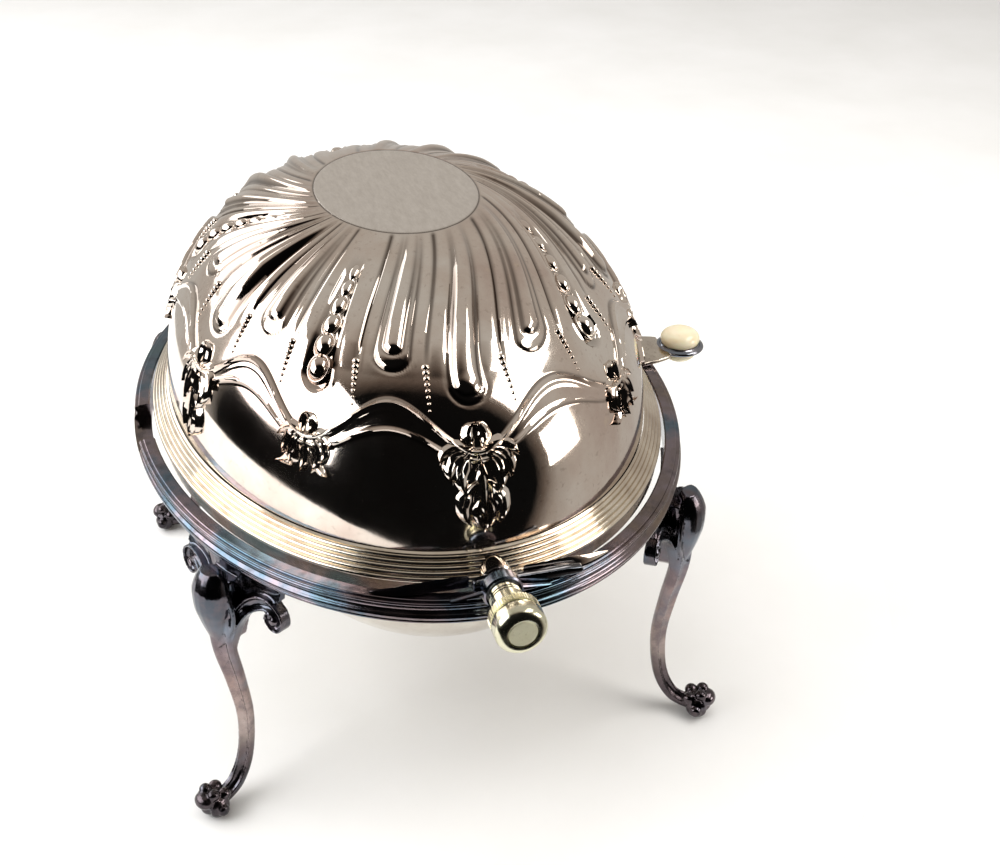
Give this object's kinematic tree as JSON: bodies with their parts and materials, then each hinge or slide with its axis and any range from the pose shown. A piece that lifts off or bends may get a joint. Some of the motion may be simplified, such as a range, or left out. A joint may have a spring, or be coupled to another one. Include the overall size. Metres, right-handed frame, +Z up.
{
  "type": "roll top chafer",
  "caption": "Oval silver-plated breakfast dish on cabriole legs, with a fluted domed cover that rolls back under it on end pivots and a lift-out liner and drainer.",
  "frame": {"origin": "on the table, under the centre of the oval frame", "axes": "+X along the pivot axis towards the right knob, -Y towards the handle of the closed cover, +Z up"},
  "size_m": [0.357, 0.257, 0.2161],
  "materials": {
    "silver_cover": "polished silver plate with warm tarnish in the hollows",
    "silver_frame": "silver plate with brown, blue and purple tarnish",
    "silver_legs": "cast silver plate, near black tarnish, polished",
    "silver_dish": "bright silver plate, lightly worn",
    "nickel": "polished nickel, slightly yellow",
    "nickel_inset": "satin yellowed nickel",
    "ivory": "polished cream, fine grained"
  },
  "bodies": {
    "frame": {"frame_rim": "silver_frame", "pivot_lug_left": "silver_frame", "pivot_lug_right": "silver_frame", "stop_rest_front_left": "silver_frame", "stop_rest_front_right": "silver_frame", "stop_rest_rear_left": "silver_frame", "stop_rest_rear_right": "silver_frame", "leg_rear_left": "silver_legs", "leg_front_left": "silver_legs", "leg_rear_right": "silver_legs", "leg_front_right": "silver_legs", "base_dish": "silver_dish", "pivot_pin_left": "nickel", "pivot_pin_right": "nickel"},
    "cover": {"cover_shell": "silver_cover", "cover_border": "silver_cover", "cover_ear_left": "silver_cover", "cover_ear_right": "silver_cover", "stop_arm_left": "silver_frame", "stop_arm_right": "silver_frame", "handle_tab": "silver_cover", "handle_button_upper": "ivory", "handle_button_lower": "ivory", "handle_stud": "nickel"},
    "liner": {"food_liner": "silver_dish"},
    "drainer": {"drainer": "silver_dish"},
    "knob_left": {"knob_sleeve_left": "nickel", "knob_cap_left": "nickel", "knob_inset_left": "nickel_inset"},
    "knob_right": {"knob_sleeve_right": "nickel", "knob_cap_right": "nickel", "knob_inset_right": "nickel_inset"}
  },
  "joints": [
    {"name": "cover_roll", "type": "hinge", "parent": "frame", "child": "cover", "pos_m": [0, 0, 0.1271], "axis": [-1, 0, 0], "range_deg": [0, 180]},
    {"name": "liner_lift", "type": "slide", "parent": "frame", "child": "liner", "axis": [0, 0, 1], "range_m": [0, 0.014]},
    {"name": "drainer_lift", "type": "slide", "parent": "liner", "child": "drainer", "axis": [0, 0, 1], "range_m": [0, 0.02]},
    {"name": "knob_left_turn", "type": "hinge", "parent": "frame", "child": "knob_left", "pos_m": [-0.17, 0, 0.1271], "axis": [-1, 0, 0], "continuous": true},
    {"name": "knob_right_turn", "type": "hinge", "parent": "frame", "child": "knob_right", "pos_m": [0.17, 0, 0.1271], "axis": [1, 0, 0], "continuous": true}
  ]
}
